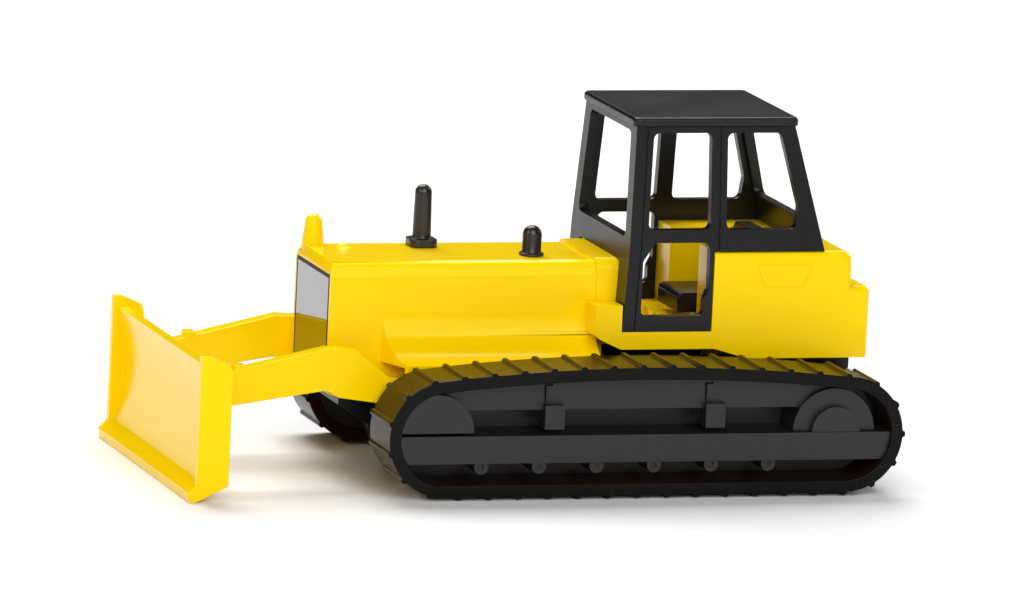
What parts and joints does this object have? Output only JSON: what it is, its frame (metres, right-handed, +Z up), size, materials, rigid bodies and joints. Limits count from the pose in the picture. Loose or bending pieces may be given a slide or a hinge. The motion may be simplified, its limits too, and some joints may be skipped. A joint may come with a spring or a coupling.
{
  "type": "toy bulldozer",
  "caption": "Pocket-size toy bulldozer with a hollow cab, cleated tracks, hidden rolling wheels and a front blade that tilts up on two flat arms.",
  "frame": {"origin": "on the floor, at the middle of the bounding box", "axes": "+X forward towards the blade, +Y to the driver's left, +Z up"},
  "size_m": [0.0798, 0.039, 0.0397],
  "materials": {
    "yellow_paint": "gloss enamel over zinc casting",
    "yellow_plastic": "glossy moulded",
    "black_plastic": "satin moulded",
    "track_plastic": "satin moulded, glossy shoes",
    "wheel_plastic": "moulded",
    "gloss_black": "polished",
    "stack_plastic": "satin moulded",
    "steel": "drawn wire"
  },
  "bodies": {
    "chassis": {"body_casting": "yellow_paint", "base_plate": "black_plastic", "grille": "gloss_black", "exhaust_stack": "stack_plastic", "pre_cleaner": "stack_plastic", "cab_frame": "black_plastic", "cab_roof": "black_plastic", "seat": "black_plastic", "track_band_left": "track_plastic", "track_band_right": "track_plastic", "track_frame_left": "track_plastic", "track_frame_right": "track_plastic", "pivot_pin_left": "steel", "pivot_pin_right": "steel", "rivet_front": "steel", "rivet_rear": "steel"},
    "blade_unit": {"blade": "yellow_plastic", "push_arm_left": "yellow_plastic", "push_arm_right": "yellow_plastic"},
    "front_wheelset": {"front_axle": "steel", "front_wheel_left": "wheel_plastic", "front_wheel_right": "wheel_plastic"},
    "rear_wheelset": {"rear_axle": "steel", "rear_wheel_left": "wheel_plastic", "rear_wheel_right": "wheel_plastic"}
  },
  "joints": [
    {"name": "blade_lift", "type": "hinge", "parent": "chassis", "child": "blade_unit", "pos_m": [0.0131, 0, 0.0102], "axis": [0, -1, 0], "range_deg": [0, 18]},
    {"name": "front_wheels_roll", "type": "hinge", "parent": "chassis", "child": "front_wheelset", "pos_m": [0.009, 0, 0.0032], "axis": [0, 1, 0], "continuous": true},
    {"name": "rear_wheels_roll", "type": "hinge", "parent": "chassis", "child": "rear_wheelset", "pos_m": [-0.0327, 0, 0.0032], "axis": [0, 1, 0], "continuous": true}
  ]
}
